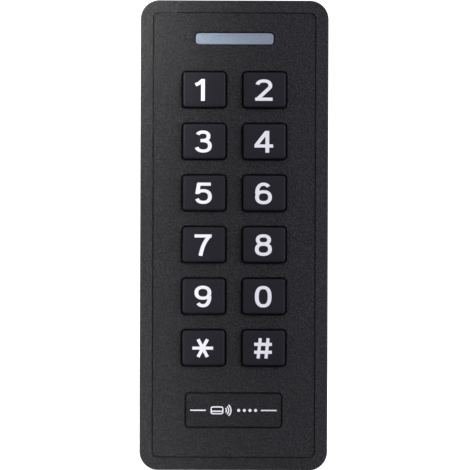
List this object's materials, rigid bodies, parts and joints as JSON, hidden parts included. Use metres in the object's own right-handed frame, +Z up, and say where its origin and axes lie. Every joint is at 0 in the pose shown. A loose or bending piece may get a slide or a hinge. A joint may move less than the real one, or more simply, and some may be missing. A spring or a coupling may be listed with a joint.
{
  "type": "keypad access reader",
  "caption": "Slim upright wall reader: two columns of rubber keys, a status light bar above, a name plate below, a steel wall plate behind.",
  "frame": {"origin": "on the wall, at the centre of the wall plate's rear face", "axes": "the wall is the plane y = 0; +Y into the wall, the face looks along -Y, +X to the right of someone facing the reader, +Z up along its height"},
  "size_m": [0.05, 0.0228, 0.125],
  "materials": {
    "casing_plastic": "charcoal ABS and polycarbonate blend with a fine spark-eroded texture",
    "plate_plastic": "charcoal plastic with the same fine texture as the casing",
    "key_silicone": "smooth satin silicone rubber, bluish black",
    "key_print": "white printed numerals and symbols, a thin raised ink film",
    "mat_silicone": "satin silicone rubber",
    "lens_plastic": "pale blue-grey light-diffusing plastic, satin",
    "white_plastic": "white reflective plastic",
    "led_resin": "clear and pale yellow resin",
    "board_laminate": "green solder mask over glass-fibre laminate",
    "gold_plating": "gold-plated copper",
    "chip_epoxy": "black moulding compound with tinned legs",
    "component_ceramic": "brown and black ceramic with tinned ends",
    "can_aluminium": "drawn aluminium can",
    "ferrite": "sintered ferrite",
    "buzzer_plastic": "black moulded plastic",
    "coil_copper": "enamelled copper wire, wound flat",
    "header_nylon": "ivory nylon",
    "switch_plastic": "black moulded plastic",
    "plunger_acetal": "natural acetal",
    "spring_steel": "bright spring wire",
    "zinc_steel": "zinc-plated sheet steel",
    "screw_steel": "stainless steel",
    "nut_brass": "turned brass",
    "seal_rubber": "black moulded rubber"
  },
  "bodies": {
    "casing": {"front_cover": "casing_plastic", "rear_cover": "casing_plastic", "wall_plate": "zinc_steel", "wall_plate_nut": "nut_brass", "security_screw": "screw_steel", "case_screws": "screw_steel", "board_screws": "screw_steel", "casing_seal": "seal_rubber", "cable_grommet": "seal_rubber", "name_plate": "plate_plastic", "status_lens": "lens_plastic", "light_box": "white_plastic", "status_leds": "led_resin", "backlight_leds": "led_resin", "circuit_board": "board_laminate", "contact_pads": "gold_plating", "microcontroller": "chip_epoxy", "logic_chips": "chip_epoxy", "small_components": "component_ceramic", "supply_capacitor": "can_aluminium", "power_inductor": "ferrite", "buzzer": "buzzer_plastic", "antenna_coil": "coil_copper", "wire_header": "header_nylon", "header_pins": "gold_plating", "tamper_switch": "switch_plastic", "tamper_spring": "spring_steel", "tamper_seal": "seal_rubber", "key_mat": "mat_silicone", "key_web_1": "mat_silicone", "key_web_2": "mat_silicone", "key_web_3": "mat_silicone", "key_web_4": "mat_silicone", "key_web_5": "mat_silicone", "key_web_6": "mat_silicone", "key_web_7": "mat_silicone", "key_web_8": "mat_silicone", "key_web_9": "mat_silicone", "key_web_0": "mat_silicone", "key_web_star": "mat_silicone", "key_web_hash": "mat_silicone"},
    "key_1": {"key_1": "key_silicone"},
    "key_2": {"key_2": "key_silicone"},
    "key_3": {"key_3": "key_silicone"},
    "key_4": {"key_4": "key_silicone"},
    "key_5": {"key_5": "key_silicone"},
    "key_6": {"key_6": "key_silicone"},
    "key_7": {"key_7": "key_silicone"},
    "key_8": {"key_8": "key_silicone"},
    "key_9": {"key_9": "key_silicone"},
    "key_0": {"key_0": "key_silicone"},
    "key_star": {"key_star": "key_silicone"},
    "key_hash": {"key_hash": "key_silicone"},
    "tamper_plunger": {"tamper_plunger": "plunger_acetal"}
  },
  "joints": [
    {"name": "press_1", "type": "slide", "parent": "casing", "child": "key_1", "axis": [0, 1, 0], "range_m": [0, 0.0011], "stiffness_N_per_m": 800, "deforming": ["key_web_1"]},
    {"name": "press_2", "type": "slide", "parent": "casing", "child": "key_2", "axis": [0, 1, 0], "range_m": [0, 0.0011], "stiffness_N_per_m": 800, "deforming": ["key_web_2"]},
    {"name": "press_3", "type": "slide", "parent": "casing", "child": "key_3", "axis": [0, 1, 0], "range_m": [0, 0.0011], "stiffness_N_per_m": 800, "deforming": ["key_web_3"]},
    {"name": "press_4", "type": "slide", "parent": "casing", "child": "key_4", "axis": [0, 1, 0], "range_m": [0, 0.0011], "stiffness_N_per_m": 800, "deforming": ["key_web_4"]},
    {"name": "press_5", "type": "slide", "parent": "casing", "child": "key_5", "axis": [0, 1, 0], "range_m": [0, 0.0011], "stiffness_N_per_m": 800, "deforming": ["key_web_5"]},
    {"name": "press_6", "type": "slide", "parent": "casing", "child": "key_6", "axis": [0, 1, 0], "range_m": [0, 0.0011], "stiffness_N_per_m": 800, "deforming": ["key_web_6"]},
    {"name": "press_7", "type": "slide", "parent": "casing", "child": "key_7", "axis": [0, 1, 0], "range_m": [0, 0.0011], "stiffness_N_per_m": 800, "deforming": ["key_web_7"]},
    {"name": "press_8", "type": "slide", "parent": "casing", "child": "key_8", "axis": [0, 1, 0], "range_m": [0, 0.0011], "stiffness_N_per_m": 800, "deforming": ["key_web_8"]},
    {"name": "press_9", "type": "slide", "parent": "casing", "child": "key_9", "axis": [0, 1, 0], "range_m": [0, 0.0011], "stiffness_N_per_m": 800, "deforming": ["key_web_9"]},
    {"name": "press_0", "type": "slide", "parent": "casing", "child": "key_0", "axis": [0, 1, 0], "range_m": [0, 0.0011], "stiffness_N_per_m": 800, "deforming": ["key_web_0"]},
    {"name": "press_star", "type": "slide", "parent": "casing", "child": "key_star", "axis": [0, 1, 0], "range_m": [0, 0.0011], "stiffness_N_per_m": 800, "deforming": ["key_web_star"]},
    {"name": "press_hash", "type": "slide", "parent": "casing", "child": "key_hash", "axis": [0, 1, 0], "range_m": [0, 0.0011], "stiffness_N_per_m": 800, "deforming": ["key_web_hash"]},
    {"name": "tamper_release", "type": "slide", "parent": "casing", "child": "tamper_plunger", "axis": [0, 1, 0], "range_m": [0, 0.0014], "stiffness_N_per_m": 300, "springref_m": 0.0024, "deforming": ["tamper_spring"]}
  ]
}
